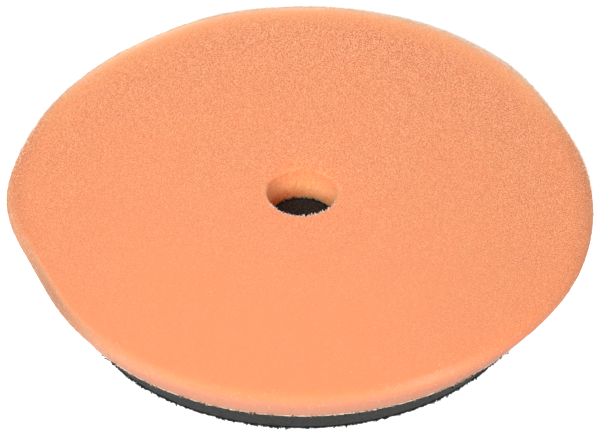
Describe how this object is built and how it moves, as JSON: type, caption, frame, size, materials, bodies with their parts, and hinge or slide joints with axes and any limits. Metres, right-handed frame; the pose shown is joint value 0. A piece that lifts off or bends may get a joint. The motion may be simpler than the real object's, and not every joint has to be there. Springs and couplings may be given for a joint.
{
  "type": "foam polishing pad",
  "caption": "Round two-layer foam polishing pad with a tapered cut side, a blind centre hole and a hook-and-loop back, for a dual-action or rotary polisher.",
  "frame": {"origin": "centre of the loop back, where the pad meets the backing plate", "axes": "+Z is the pad's spin axis and points out of the working face; X and Y lie in the loop back and are equivalent"},
  "size_m": [0.165, 0.165, 0.0242],
  "materials": {
    "working_foam": "open-cell polyurethane foam, matte, fine pores",
    "bond_film": "cured glue film, translucent, satin",
    "melt_film": "hot-melt film, smoky, satin",
    "interface_foam": "fine closed-cell foam, matte, knife-cut side",
    "loop_ground": "knitted nylon ground, matte",
    "loop_pile": "brushed nylon pile loops, soft sheen"
  },
  "bodies": {
    "root": {"working_foam": "working_foam", "foam_bond_film": "bond_film", "interface_foam": "interface_foam", "backing_bond_film": "melt_film", "loop_ground": "loop_ground", "loop_pile": "loop_pile"}
  },
  "joints": []
}
